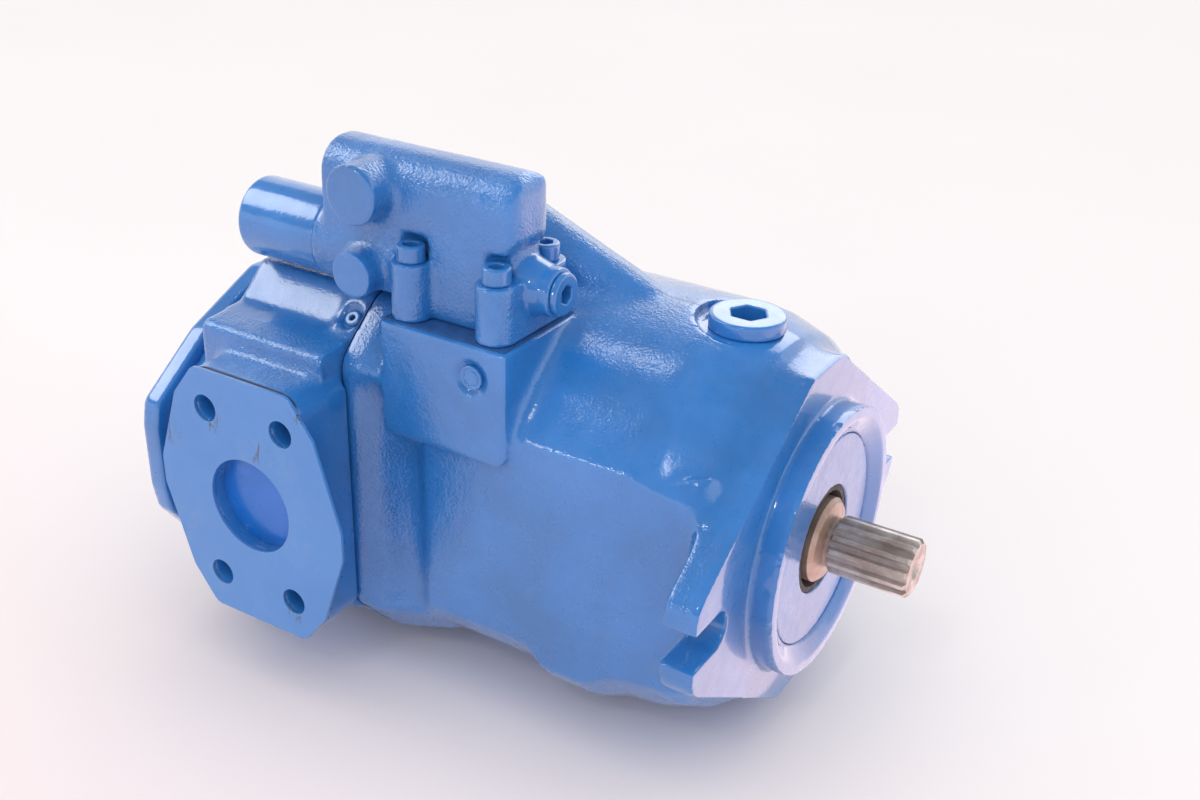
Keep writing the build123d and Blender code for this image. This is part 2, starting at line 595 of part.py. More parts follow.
# ---- control valve ---------------------------------------------------------------------------
def valve_body():
    """Cast body of the pressure and flow control on its pad."""
    base_z = PAD_Z + GASKET_T
    body = block(-137, -88, -59.5, -25.5, base_z, base_z + 11)
    low = [(-88, base_z + 5), (-137, base_z + 5), (VALVE_LEFT, 80)]
    slab = outline([(VALVE_LEFT, VALVE_TOP), (VALVE_RIGHT, VALVE_TOP), (VALVE_RIGHT, 107.5), (-93, 104)]
                   + [(-93, 90), (-88, 82)] + low)
    slab = fillet(slab.vertices().filter_by(lambda v: v.X == VALVE_RIGHT and v.Y > 108), 6.0)
    cushion = block(VALVE_LEFT - 1, VALVE_RIGHT + 4, -59.5, -33.0, 60, VALVE_TOP)
    cushion = fillet(cushion.edges().filter_by(Axis.X).sort_by(Axis.Z)[-2:], 12.0)
    ends = block(VALVE_LEFT - 20, VALVE_RIGHT, -59.5, -33.0, 60, VALVE_TOP)
    for y, radius in ((-59.5, 5.0), (-33.0, 10.0)):
        corner = ends.edges().filter_by(Axis.Z).filter_by(lambda e: abs(e.center().Y - y) < 0.01)
        ends = fillet(corner.sort_by(Axis.X)[-1:], radius)
    foot = block(-92, -80, -60, -30, 60, 90)
    body += slab_y(slab, -59.5, -33.0) & cushion & (ends + foot)
    body += rod_x(15.4, CAP_X, -138, VALVE_Y, VALVE_Z)
    neck = turned((-102, 0), (-102, 12), (-92, 11), (-84, 8.6), (-79.5, 8.6), (-79.5, 0))
    body += Pos(0, VALVE_Y, VALVE_Z) * neck
    body += rod_y(10.4, -70.5, -50, -147.8, 115.5)
    body += rod_y(8.2, -69, -50, -150.5, 86.3)
    for x in VALVE_SCREWS_X:
        for y in VALVE_SCREWS_Y:
            body += rod_z(7.2, base_z, HEAD_SEAT_Z, x, y)
            reach = -46 if y < -46 else -44
            body += block(x - 7.2, x + 7.2, y, reach, base_z, HEAD_SEAT_Z)
    for x in VALVE_SCREWS_X:
        for y in VALVE_SCREWS_Y:
            body -= rod_z(3.3, base_z - 1, HEAD_SEAT_Z + 1, x, y)
            body -= rod_z(6.2, HEAD_SEAT_Z, HEAD_SEAT_Z + 8.5, x, y)
    body -= rod_x(5.0 + FIT, -172, -78, VALVE_Y, VALVE_Z)
    body -= rod_x(10.0, CAP_X - 1, -168, VALVE_Y, VALVE_Z)
    body -= rod_x(6.0, -88, -78, VALVE_Y, VALVE_Z)
    body -= rod_x(4.0, VALVE_LEFT - 1, -105, VALVE_Y, GALLERY_Z)
    body -= rod_x(5.5, VALVE_LEFT - 1, VALVE_LEFT + 9, VALVE_Y, GALLERY_Z)
    return body


def valve_gasket():
    """Gasket plate between the valve and its pad."""
    sheet = block(-137.5, -87, -68, -25, PAD_Z, PAD_Z + GASKET_T)
    for x in VALVE_SCREWS_X:
        for y in VALVE_SCREWS_Y:
            sheet -= rod_z(3.4, PAD_Z - 1, PAD_Z + 2, x, y)
    return sheet


def valve_screws():
    """Four M6 socket screws."""
    screw = socket_screw(6, 27.5, 5.0, 6.0, 5.0)
    return [Pos(x, y, HEAD_SEAT_Z) * screw for x in VALVE_SCREWS_X for y in VALVE_SCREWS_Y]


def valve_cap():
    """Round cap over the spool spring, with a hexagon socket in its end."""
    cap = turned((CAP_END, 0), (CAP_END, CAP_R - 2.2), (CAP_END + 2.2, CAP_R), (CAP_X, CAP_R),
                 (CAP_X, 10.0 - FIT), (-169, 10.0 - FIT), (-169, 8), (CAP_END + 8, 8), (CAP_END + 8, 0))
    cap -= slab_x(hexagon(10.0), CAP_END - 1, CAP_END + 5)
    return Pos(0, VALVE_Y, VALVE_Z) * cap


def control_spool():
    """Sliding spool, three lands on a thin stem."""
    rear = SEAT_X
    lands = ((-165, -150), (-136, -122), (-112, -97))
    spool = rod_x(3.0, rear, -95, VALVE_Y, VALVE_Z)
    for x0, x1 in lands:
        spool += rod_x(5.0, x0, x1, VALVE_Y, VALVE_Z)
    return spool


def spool_spring():
    """Spring that sets the control pressure."""
    return coil(6.2, 2.0, CAP_END + 11.1, SEAT_X - 2.1, 6, VALVE_Y, VALVE_Z)


def spring_seats():
    """Seats at the two ends of the spool spring."""
    moving = rod_x(7.2, SEAT_X - 2, SEAT_X, VALVE_Y, VALVE_Z)
    fixed = rod_x(7.8, CAP_END + 8, CAP_END + 11, VALVE_Y, VALVE_Z)
    return moving, fixed


def spool_plug():
    """Socket plug at the drive end of the spool bore."""
    plug = screw_plug(12.0, 8, 7.4, 2.4, 6.0)
    return Pos(-79.5, VALVE_Y, VALVE_Z) * Rot(0, 90, 0) * plug


def gallery_plug():
    """Headless plug of the upper gallery."""
    plug = rod_z(5.5, -9, 0) - extrude(hexagon(5.0), -5)
    return Pos(VALVE_LEFT, VALVE_Y, GALLERY_Z) * Rot(0, -90, 0) * plug


# ---- output -------------------------------------------------------------------------------------
def save(name, shape):
    """One STEP file per node."""
    if isinstance(shape, (list, tuple)):
        shape = Compound(children=list(shape))
    export_step(shape, f"parts/{name}.step")


os.makedirs("parts", exist_ok=True)
front_cup, front_cone, front_rollers = tapered_bearing(FRONT_BEARING, FRONT_BEARING[0])
rear_cup, rear_cone, rear_rollers = tapered_bearing(REAR_BEARING, REAR_BEARING[1])
seat_moving, seat_fixed = spring_seats()

save("pump_housing", pump_housing())
save("port_plate", port_plate())
save("housing_gasket", housing_gasket())
save("port_plate_screws", port_plate_screws())
save("end_cover", end_cover())
save("end_cover_screws", end_cover_screws())
save("end_cover_seal", ring_seal(40.2, 2.4, NECK_REAR + 1.2))
save("suction_port_cover", port_cover(-1, 43, 50.5, SUCTION_BOLTS, 5.2, 18.6))
save("suction_port_plug", port_plug(-1, SUCTION_R))
save("pressure_port_cover", port_cover(1, 33, 40, PRESSURE_BOLTS, 4.4, 12.4))
save("pressure_port_plug", port_plug(1, PRESSURE_R))
save("drain_plug_top", drain_plug(1))
save("drain_plug_bottom", drain_plug(-1))
save("pad_plug", pad_plug())
save("port_plate_plug", port_plate_plug())
save("drive_shaft", drive_shaft())
save("front_bearing_cup", front_cup)
save("front_bearing_cone", front_cone)
save("front_bearing_rollers", front_rollers)
save("rear_bearing_cup", rear_cup)
save("rear_bearing_cone", rear_cone)
save("rear_bearing_rollers", rear_rollers)
save("shaft_seal_case", shaft_seal_case())
save("shaft_seal_lip", shaft_seal_lip())
save("cylinder_block", cylinder_block())
save("pistons", pistons())
save("slippers", slippers())
save("retaining_plate", retaining_plate())
save("retaining_ball", retaining_ball())
save("centre_spring", centre_spring())
save("swash_plate", swash_plate())
save("cradle_bearings", cradle_bearings())
save("stroking_piston", stroking_piston())
save("stroking_spring", stroking_spring())
save("return_guide", return_guide())
save("return_spring", return_spring())
save("control_plate", control_plate())
save("valve_body", valve_body())
save("valve_gasket", valve_gasket())
save("valve_screws", valve_screws())
save("valve_cap", valve_cap())
save("control_spool", control_spool())
save("spool_spring", spool_spring())
save("spring_seat", seat_moving)
save("spring_stop", seat_fixed)
save("spool_plug", spool_plug())
save("gallery_plug", gallery_plug())
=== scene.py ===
import json
from math import radians

import bpy
import numpy as np
from mathutils import Matrix, Vector, noise

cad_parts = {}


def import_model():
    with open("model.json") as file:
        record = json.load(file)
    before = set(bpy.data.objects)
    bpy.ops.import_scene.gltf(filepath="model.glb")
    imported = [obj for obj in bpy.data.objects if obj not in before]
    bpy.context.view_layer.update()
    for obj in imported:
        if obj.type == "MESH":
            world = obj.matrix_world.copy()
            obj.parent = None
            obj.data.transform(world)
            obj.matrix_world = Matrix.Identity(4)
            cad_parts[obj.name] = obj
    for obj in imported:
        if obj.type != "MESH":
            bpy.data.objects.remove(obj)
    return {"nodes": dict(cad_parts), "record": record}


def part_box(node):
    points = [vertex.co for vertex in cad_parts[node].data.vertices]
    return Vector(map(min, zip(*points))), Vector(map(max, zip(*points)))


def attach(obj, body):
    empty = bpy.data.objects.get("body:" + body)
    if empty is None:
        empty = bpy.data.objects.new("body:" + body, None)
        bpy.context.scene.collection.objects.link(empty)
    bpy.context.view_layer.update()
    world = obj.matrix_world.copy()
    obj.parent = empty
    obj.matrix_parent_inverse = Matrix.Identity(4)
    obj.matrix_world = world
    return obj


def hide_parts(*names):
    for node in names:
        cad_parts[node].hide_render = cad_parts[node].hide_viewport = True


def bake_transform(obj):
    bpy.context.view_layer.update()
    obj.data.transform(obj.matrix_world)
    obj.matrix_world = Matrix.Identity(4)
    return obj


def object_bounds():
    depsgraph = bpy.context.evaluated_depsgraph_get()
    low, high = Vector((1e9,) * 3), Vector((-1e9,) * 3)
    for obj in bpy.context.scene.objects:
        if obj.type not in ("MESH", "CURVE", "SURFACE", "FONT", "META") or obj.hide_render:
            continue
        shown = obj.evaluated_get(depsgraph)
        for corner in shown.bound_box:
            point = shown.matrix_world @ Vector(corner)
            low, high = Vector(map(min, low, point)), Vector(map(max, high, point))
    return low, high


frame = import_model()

MM = 0.001
cad_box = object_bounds()
nodes = frame["nodes"]

# Places on the castings, in millimetres, as in the CAD model
DRAIN_X = -31.7                      # axis of both drain plugs
PORT_X = -177.4                      # axis of both ports
PORT_HALF = 20.5                     # radius kept clear round the port axis
CHAMBER_R = 61.0                     # the housing's hollow round the shaft
PORT_CHAMBER_R = 41.0                # the port plate's hollow round the shaft
PORT_SCREWS = [(y, z) for y in (-50.0, 50.0) for z in (-52.0, 52.0)]
SPOOL_Y, SPOOL_Z = -46.0, 89.5       # axis of the spool
SCREW_PLACES = [(x, y) for x in (-130.0, -95.0) for y in (-61.0, -32.0)]
PAD_PLUG = (-99.5, -70.0, 62.0)      # small pressed plug in the valve pad
PAD_X = -111.5                       # middle of the valve pad


# Steps of the mesh work
RELAX_STEP = 0.6                     # share of the way to the neighbours' mean, each round
NORMALS_EVERY = 12                   # rounds of filling between new normals
SHARP_ANGLE = radians(34)            # steeper edges of a casting shade as sharp


# ---- mesh tools ----------------------------------------------------------------------------
def coords(mesh):
    """Vertex positions in millimetres."""
    flat = np.empty(len(mesh.vertices) * 3, dtype=np.float32)
    mesh.vertices.foreach_get("co", flat)
    return flat.reshape(-1, 3).astype(np.float64) / MM


def set_coords(mesh, points):
    mesh.vertices.foreach_set("co", (points * MM).astype(np.float32).ravel())
    mesh.update()


def normals_of(mesh):
    flat = np.empty(len(mesh.vertices) * 3, dtype=np.float32)
    mesh.vertices.foreach_get("normal", flat)
    return flat.reshape(-1, 3).astype(np.float64)


def past(value, start, end):
    """0 before start, 1 after end, smooth between them."""
    t = np.clip((value - start) / (end - start), 0.0, 1.0)
    return t * t * (3 - 2 * t)


def before(value, start, end):
    """1 before start, 0 after end, smooth between them."""
    return 1 - past(value, start, end)


def relax(mesh, softness, rounds, filling=False):
    """Rounds edges: each point moves towards its neighbours' mean for softness rounds.

    With filling, points only move outward, so inner corners fill up and outer edges stay."""
    points = coords(mesh)
    out = normals_of(mesh)
    pairs = np.empty(len(mesh.edges) * 2, dtype=np.int32)
    mesh.edges.foreach_get("vertices", pairs)
    a, b = pairs[0::2], pairs[1::2]
    count = len(points)
    degree = np.bincount(a, minlength=count) + np.bincount(b, minlength=count)
    degree = np.maximum(degree, 1)
    for i in range(rounds):
        share = np.clip(softness - i, 0.0, 1.0) * RELAX_STEP
        if not share.any():
            break
        move = np.empty_like(points)
        for axis in range(3):
            p = points[:, axis]
            total = np.bincount(a, weights=p[b], minlength=count)
            total = total + np.bincount(b, weights=p[a], minlength=count)
            move[:, axis] = total / degree - p
        if filling:
            if i % NORMALS_EVERY == NORMALS_EVERY - 1:
                set_coords(mesh, points)
                out = normals_of(mesh)
            share = share * ((move * out).sum(axis=1) > 0.0)
        points += move * share[:, None]
    set_coords(mesh, points)
    return points


def remeshed(node, name, voxel):
    """A voxel-remeshed copy of a CAD node."""
    source = nodes[node]
    work = bpy.data.objects.new(name + "_work", source.data.copy())
    bpy.context.collection.objects.link(work)
    step = work.modifiers.new("voxels", "REMESH")
    step.mode = "VOXEL"
    step.voxel_size = voxel * MM * 1.0
    step.adaptivity = 0.0
    shown = work.evaluated_get(bpy.context.evaluated_depsgraph_get())
    mesh = bpy.data.meshes.new_from_object(shown)
    mesh.name = name
    bpy.data.objects.remove(work)
    piece = bpy.data.objects.new(name, mesh)
    bpy.context.collection.objects.link(piece)
    return piece


def kept_inside(points, node):
    """Points clamped to the CAD node's own box."""
    low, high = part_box(node)
    return np.clip(points, np.array(low) / MM, np.array(high) / MM)


def finish_piece(piece, node, material, points):
    """Gives a piece of the casing its last shape and material, and puts it in its node's place."""
    mesh = piece.data
    set_coords(mesh, kept_inside(points, node))
    mesh.shade_smooth()
    mesh.materials.clear()
    mesh.materials.append(material)
    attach(piece, "casing")
    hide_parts(node)


def casting(node, name, voxel, soft, fill, lumps, rough, shape=None):
    """A cast part: soft rounds its outer edges, fill its inner corners, and rough gives its skin."""
    piece = remeshed(node, name, voxel)
    start = coords(piece.data)
    if shape:
        start = shape(start)
        set_coords(piece.data, start)
    fills = fill(start)
    relax(piece.data, fills, int(fills.max()), filling=True)
    softness = soft(start)
    points = relax(piece.data, softness, int(softness.max()))
    skin = rough(points)
    out = normals_of(piece.data)
    places = [Vector(p) for p in points]
    wave = np.array([noise.noise(p * 0.085) + 0.5 * noise.noise(p * 0.23) for p in places])
    points = points + out * (wave * lumps * skin)[:, None]
    layer = piece.data.attributes.new("cast", "FLOAT", "POINT")
    layer.data.foreach_set("value", skin.astype(np.float32))
    finish_piece(piece, node, look_cast, points)
    piece.data.set_sharp_from_angle(angle=SHARP_ANGLE)


def painted(node, name, voxel, rounds, material):
    """A machined piece with its edges softened by thick paint."""
    piece = remeshed(node, name, voxel)
    points = relax(piece.data, np.full(len(piece.data.vertices), rounds, dtype=float), rounds)
    finish_piece(piece, node, material, points)


# ---- material tools ------------------------------------------------------------------------
class Shading:
    """Short calls for the nodes of a material or a world."""

    def __init__(self, owner, place):
        owner.use_nodes = True
        self.nodes, self.links = owner.node_tree.nodes, owner.node_tree.links
        self.place = self.nodes.new("ShaderNodeTexCoord").outputs[place]

    def put(self, value, socket):
        if isinstance(value, bpy.types.NodeSocket):
            self.links.new(value, socket)
        else:
            socket.default_value = value

    def noise(self, scale, detail=3.0, rough=0.5, stretch=None, distortion=0.0):
        node = self.nodes.new("ShaderNodeTexNoise")
        node.inputs["Scale"].default_value = scale
        node.inputs["Detail"].default_value = detail
        node.inputs["Roughness"].default_value = rough
        node.inputs["Distortion"].default_value = distortion
        source = self.place
        if stretch:
            mapping = self.nodes.new("ShaderNodeMapping")
            mapping.inputs["Scale"].default_value = stretch
            self.links.new(self.place, mapping.inputs["Vector"])
            source = mapping.outputs["Vector"]
        self.links.new(source, node.inputs["Vector"])
        return node.outputs["Fac"]

    def ramp(self, value, *stops):
        """Colour ramp from (position, colour or grey) stops."""
        node = self.nodes.new("ShaderNodeValToRGB")
        marks = node.color_ramp.elements
        while len(marks) < len(stops):
            marks.new(0.5)
        for mark, (position, tone) in zip(marks, stops):
            mark.position = position
            tone = (tone, tone, tone) if isinstance(tone, (int, float)) else tone
            mark.color = (*tone, 1.0)
        self.links.new(value, node.inputs["Fac"])
        return node.outputs["Color"]

    def math(self, operation, a, b=0.0, c=0.0):
        node = self.nodes.new("ShaderNodeMath")
        node.operation = operation
        for value, socket in zip((a, b, c), node.inputs):
            self.put(value, socket)
        return node.outputs[0]

    def mix(self, factor, a, b, kind="MIX"):
        node = self.nodes.new("ShaderNodeMix")
        node.data_type = "RGBA"
        node.blend_type = kind
        for value, socket in ((factor, 0), (a, 6), (b, 7)):
            if not isinstance(value, bpy.types.NodeSocket) and socket:
                value = (*value, 1.0) if len(value) == 3 else value
            self.put(value, node.inputs[socket])
        return node.outputs[2]

    def spot(self, centre, radius):
        """1 at a place in millimetres, fading to 0 at a radius round it."""
        node = self.nodes.new("ShaderNodeVectorMath")
        node.operation = "DISTANCE"
        self.links.new(self.place, node.inputs[0])
        node.inputs[1].default_value = [v * MM for v in centre]
        return self.span(node.outputs["Value"], radius * MM, radius * 0.2 * MM)

    def span(self, value, zero_at, one_at):
        """0 at one value and 1 at the other, smooth between them, in either order."""
        node = self.nodes.new("ShaderNodeMapRange")
        node.interpolation_type = "SMOOTHSTEP"
        self.links.new(value, node.inputs["Value"])
        node.inputs["From Min"].default_value = zero_at
        node.inputs["From Max"].default_value = one_at
        if zero_at > one_at:
            node.inputs["From Min"].default_value = one_at
            node.inputs["From Max"].default_value = zero_at
            node.inputs["To Min"].default_value = 1.0
            node.inputs["To Max"].default_value = 0.0
        return node.outputs["Result"]

    def axis(self, index):
        node = self.nodes.new("ShaderNodeSeparateXYZ")
        self.links.new(self.place, node.inputs[0])
        return node.outputs[index]

    def attribute(self, name):
        node = self.nodes.new("ShaderNodeAttribute")
        node.attribute_name = name
        return node.outputs["Fac"]

    def bump(self, height, distance_mm, strength=1.0, under=None):
        node = self.nodes.new("ShaderNodeBump")
        node.inputs["Distance"].default_value = distance_mm * MM
        self.put(strength, node.inputs["Strength"])
        self.links.new(height, node.inputs["Height"])
        if under:
            self.links.new(under, node.inputs["Normal"])
        return node.outputs["Normal"]

    def bevel(self, radius_mm):
        node = self.nodes.new("ShaderNodeBevel")
        node.samples = 6
        node.inputs["Radius"].default_value = radius_mm * MM
        return node.outputs["Normal"]


class Look(Shading):
    """A node material with a Principled shader."""

    def __init__(self, name):
        self.material = bpy.data.materials.new(name)
        super().__init__(self.material, "Object")
        self.shader = self.nodes["Principled BSDF"]

    def set(self, **inputs):
        names = {"color": "Base Color", "metal": "Metallic", "rough": "Roughness", "normal": "Normal",
                 "coat": "Coat Weight", "coat_rough": "Coat Roughness", "coat_ior": "Coat IOR",
                 "coat_normal": "Coat Normal", "spec": "Specular IOR Level"}
        for key, value in inputs.items():
            if isinstance(value, tuple):
                value = (*value, 1.0)
            self.put(value, self.shader.inputs[names[key]])
        return self.material


def parting_line(look):
    """1 along the mould joint over the top, in the plane of the shaft."""
    side = look.math("ABSOLUTE", look.axis(1))
    behind_flange = look.span(look.axis(0), -24 * MM, -30 * MM)
    line = look.math("MULTIPLY", look.span(side, 1.1 * MM, 0.35 * MM), behind_flange)
    return look.math("MULTIPLY", line, look.span(look.axis(2), 0.0, 10 * MM))


def painted_gap_shadow(look):
    """1 on the top of the port faces, in the gap behind the shipping covers, where a painted shadow goes."""
    side = look.math("ABSOLUTE", look.axis(1))
    return look.math("MULTIPLY", look.span(side, 96.4 * MM, 97.0 * MM),
                     look.span(look.axis(2), 44 * MM, 49 * MM))


def enamel(name, tone, grain, peel, wear, gloss=1.0, sand_cast=False):
    """Glossy blue enamel: grain of the surface under it, orange peel of the paint, dust and small chips.

    On a sand casting, the piece's cast attribute sets the grain, and there is a parting line."""
    look = Look(name)
    patches = look.noise(22.0, 4.0, 0.6)
    dark = tuple(v * 0.80 for v in tone)
    light = tuple(min(1.0, v * 1.16 + 0.01) for v in tone)
    color = look.ramp(patches, (0.30, dark), (0.52, tone), (0.75, light))
    specks = look.ramp(look.noise(900.0, 2.0, 0.7), (0.36, 0.80), (0.50, 1.0))
    color = look.mix(wear, color, specks, "MULTIPLY")
    dust = look.ramp(look.noise(70.0, 6.0, 0.72), (0.60, 0.0), (0.74, 1.0))
    color = look.mix(look.math("MULTIPLY", dust, 0.04 + wear * 0.2), color, (0.26, 0.36, 0.50))
    rough = look.ramp(look.noise(160.0, 3.0), (0.3, 0.24), (0.7, 0.40))
    coarse = look.noise(980.0, 2.5, 0.55)
    fine = look.noise(1900.0, 2.0, 0.6)
    swell = look.noise(230.0, 2.0, 0.5)
    if sand_cast:
        skin = look.attribute("cast")
        grain = look.math("MULTIPLY_ADD", skin, grain, 0.04)
        peel = look.math("MULTIPLY_ADD", skin, peel, 0.10)
    normal = look.bump(swell, 0.45, peel)
    normal = look.bump(coarse, 0.42, grain, normal)
    normal = look.bump(fine, 0.16, grain, normal)
    if sand_cast:
        line = parting_line(look)
        normal = look.bump(line, 0.45, 1.0, normal)
        color = look.mix(look.math("MULTIPLY", line, 0.55), color, (0.010, 0.060, 0.220))
        # Painted shadow: a near-black band without gloss in the gap behind the shipping covers.
        gap_shadow = painted_gap_shadow(look)
        color = look.mix(gap_shadow, color, (0.030, 0.020, 0.018))
        gloss = look.math("SUBTRACT", 1.0, gap_shadow)
    coat_normal = look.bump(swell, 0.38, peel)
    coat_normal = look.bump(coarse, 0.36, grain, coat_normal)
    return look.set(color=color, rough=rough, normal=normal, coat=gloss, coat_rough=0.05, coat_ior=1.6,
                    coat_normal=coat_normal)


def metal(name, tone, rough=(0.25, 0.4), tint=None, bevel=0.25):
    """Machined metal with faint tool marks and uneven tarnish."""
    look = Look(name)
    dark = tuple(v * 0.72 for v in tone)
    color = look.ramp(look.noise(140.0, 5.0, 0.65), (0.3, dark), (0.65, tone))
    if tint:
        color = look.mix(look.ramp(look.noise(60.0, 5.0, 0.6), (0.42, 0.0), (0.62, 1.0)), color, tint)
    along = (1.0, 14.0, 14.0)
    marks = look.noise(260.0, 4.0, 0.6, along)
    normal = look.bump(marks, 0.02, 0.35, look.bevel(bevel) if bevel else None)
    value = look.ramp(look.noise(220.0, 4.0, 0.6, along), (0.3, rough[0]), (0.7, rough[1]))
    return look.set(color=color, metal=1.0, rough=value, normal=normal)


CAST_BLUE = (0.022, 0.182, 0.545)
MACHINED_BLUE = (0.024, 0.188, 0.550)


def cover_look():
    """Lighter enamel of the shipping plates, with chips, smudges and bent-edge wear."""
    look = Look("port_cover_blue")
    tone = (0.062, 0.240, 0.620)
    color = look.ramp(look.noise(26.0, 4.0, 0.6), (0.3, (0.052, 0.220, 0.585)), (0.6, tone),
                      (0.8, (0.078, 0.262, 0.640)))
    scratches = look.ramp(look.noise(240.0, 5.0, 0.75, (1.0, 1.0, 0.35), 1.4), (0.54, 0.0), (0.60, 1.0))
    marks = [((-170.5, -99.2, 24.5), 9.0), ((-193.0, -99.2, 32.0), 9.0), ((-150.0, -99.2, 43.5), 7.0),
             ((-158.0, -99.2, -38.0), 8.0), ((-214.0, -99.2, 20.0), 7.0), ((-176.0, 99.2, 28.0), 9.0)]
    where = None
    for place, radius in marks:
        here = look.spot(place, radius)
        where = here if where is None else look.math("MAXIMUM", where, here)
    chips = look.math("MULTIPLY", scratches, where)
    color = look.mix(chips, color, (0.060, 0.062, 0.070))
    haze = look.ramp(look.noise(55.0, 6.0, 0.7), (0.54, 0.0), (0.74, 0.22))
    color = look.mix(haze, color, (0.22, 0.33, 0.50))
    rough = look.ramp(look.noise(90.0, 4.0), (0.3, 0.30), (0.7, 0.48))
    normal = look.bump(look.noise(60.0, 2.0), 0.5, 0.35, look.bevel(0.35))
    normal = look.bump(look.noise(700.0, 3.0), 0.05, 0.4, normal)
    normal = look.bump(chips, 0.08, -0.8, normal)
    return look.set(color=color, rough=rough, normal=normal, coat=0.7, coat_rough=0.12, coat_ior=1.5,
                    coat_normal=normal)


def shaft_look():
    """Ground shaft: grey teeth with brown tarnish, copper-tinted collar."""
    look = Look("bare_shaft")
    along = look.axis(0)
    grey = look.ramp(look.noise(120.0, 5.0, 0.65), (0.3, (0.44, 0.39, 0.36)), (0.6, (0.72, 0.66, 0.62)))
    brown = look.ramp(look.noise(90.0, 5.0, 0.6, (0.6, 1.6, 1.6)), (0.40, 0.0), (0.66, 0.75))
    color = look.mix(brown, grey, (0.30, 0.195, 0.145))
    collar = look.span(along, 0.0125, 0.0085)
    color = look.mix(look.math("MULTIPLY", collar, 0.65), color, (0.44, 0.29, 0.22))
    rings = look.noise(900.0, 3.0, 0.6, (6.0, 0.15, 0.15))
    lengthwise = look.noise(300.0, 3.0, 0.6, (0.2, 8.0, 8.0))
    marks = look.mix(collar, lengthwise, rings)
    rough = look.ramp(look.noise(150.0, 4.0), (0.3, 0.36), (0.7, 0.56))
    return look.set(color=color, metal=0.72, rough=rough, normal=look.bump(marks, 0.03, 0.5, look.bevel(0.3)))


def rubber_look(name, tone, rough=0.6):
    """Dull, slightly uneven rubber or fibre sheet."""
    look = Look(name)
    color = look.ramp(look.noise(300.0, 4.0), (0.3, tuple(v * 0.7 for v in tone)), (0.7, tone))
    value = look.ramp(look.noise(500.0, 3.0), (0.3, rough - 0.12), (0.7, rough + 0.1))
    return look.set(color=color, rough=value,
                    normal=look.bump(look.noise(1200.0, 2.0), 0.04, 0.5, look.bevel(0.2)))


look_cast = enamel("blue_cast", CAST_BLUE, grain=0.80, peel=0.55, wear=0.12, sand_cast=True)
look_machined = enamel("blue_machined", MACHINED_BLUE, grain=0.10, peel=0.22, wear=0.12)
look_seal_face = enamel("blue_seal_face", MACHINED_BLUE, grain=0.14, peel=0.30, wear=0.16, gloss=0.72)

# Look of each material slot in the record
LOOKS = {
    "blue_cast": look_cast,
    "blue_machined": look_machined,
    "port_cover_blue": cover_look(),
    # The plug's deep, dull blue is partly its own paint and partly painted shade of the port hole it sits in.
    "plug_blue": enamel("plug_blue", (0.008, 0.150, 0.580), grain=0.06, peel=0.20, wear=0.10, gloss=0.25),
    "bare_shaft": shaft_look(),
    "steel": metal("steel", (0.52, 0.53, 0.54), tint=(0.40, 0.39, 0.37)),
    "bearing_steel": metal("bearing_steel", (0.66, 0.67, 0.69), rough=(0.10, 0.20)),
    "spring_steel": metal("spring_steel", (0.20, 0.20, 0.22), rough=(0.30, 0.45), bevel=0),
    "bronze": metal("bronze", (0.72, 0.46, 0.20), rough=(0.25, 0.42), tint=(0.50, 0.30, 0.13)),
    "block_steel": metal("block_steel", (0.38, 0.37, 0.35), rough=(0.30, 0.45), tint=(0.27, 0.24, 0.21)),
    "black_rubber": rubber_look("black_rubber", (0.022, 0.023, 0.026)),
    "gasket_paper": rubber_look("gasket_paper", (0.020, 0.105, 0.330), 0.62),
}
slots = {entry["node"]: entry["material_slot"] for entry in frame["record"]["subparts"]}
for node, item in nodes.items():
    item.data.materials.clear()
    item.data.materials.append(LOOKS[slots[node]])


# ---- castings ------------------------------------------------------------------------------
# cut is 1 on machined faces and 0 on cast skin. soft and fill are rounds of relax. skin is the
# share of sand-cast grain. The bare numbers are millimetres on the casting where a mask starts and ends.
def from_axis(p):
    """Distance from the shaft axis."""
    return np.hypot(p[:, 1], p[:, 2])


def at_pad_plug(p):
    return np.linalg.norm(p - PAD_PLUG, axis=1) < 9.0


def housing_cut(p):
    x, y, z = p.T
    front = before(-x, 2.0, 4.0)
    slot = before(np.abs(z), 8.5, 11.0) * past(np.abs(y), 58.0, 62.0) * before(-x, 13.5, 16.0)
    drain = before(np.hypot(x - DRAIN_X, y), 19.0, 21.0) * past(np.abs(z), 68.0, 71.0)
    pad_top = past(z, 70.5, 72.5) * before(z, 74.2, 76.0) * past(-y, 26.0, 30.0)
    pad_top = pad_top * before(np.abs(x + 110.0), 26.0, 29.0)
    joint = past(-x, 151.0, 153.0)
    return np.clip(front + slot + drain + pad_top + joint, 0.0, 1.0)


def pad_edges(p):
    """1 round the pad's front face and its tight lower corner."""
    x, y, z = p.T
    return before(np.abs(x - PAD_X), 29.0, 33.0) * past(-y, 61.0, 63.5) * past(z, 24.0, 27.0)


def housing_shape(p):
    """Waist between the rear rim and the side flats, and fuller flats near the flange."""
    x, y, z = p.T
    radius = from_axis(p)
    on_pad = (x > -138.6) * (x < -84.0) * (z > 29.5) * (y < 0)
    side = past(np.abs(y), 58.0, 61.0) * before(np.abs(z), 40.0, 52.0) * (radius > CHAMBER_R) * (1 - on_pad)
    waist = past(-x, 123.0, 128.0) * before(-x, 146.0, 150.0) * side
    depth = np.maximum(np.minimum(np.abs(y) - 61.5, 6.0 * waist), 0.0) * (waist > 0)
    full = past(x, -42.0, -28.0) * before(x, -13.5, -12.0) * (np.abs(z) < 46.0) * (radius > 69.5)
    full = full * past(np.abs(z), 20.0, 30.0) * before(np.abs(z), 38.0, 46.0)
    growth = np.clip(76.5 - radius, 0.0, 4.0) * 1.6 * full
    return np.column_stack((x, y - np.sign(y) * depth, z + np.sign(z) * growth))


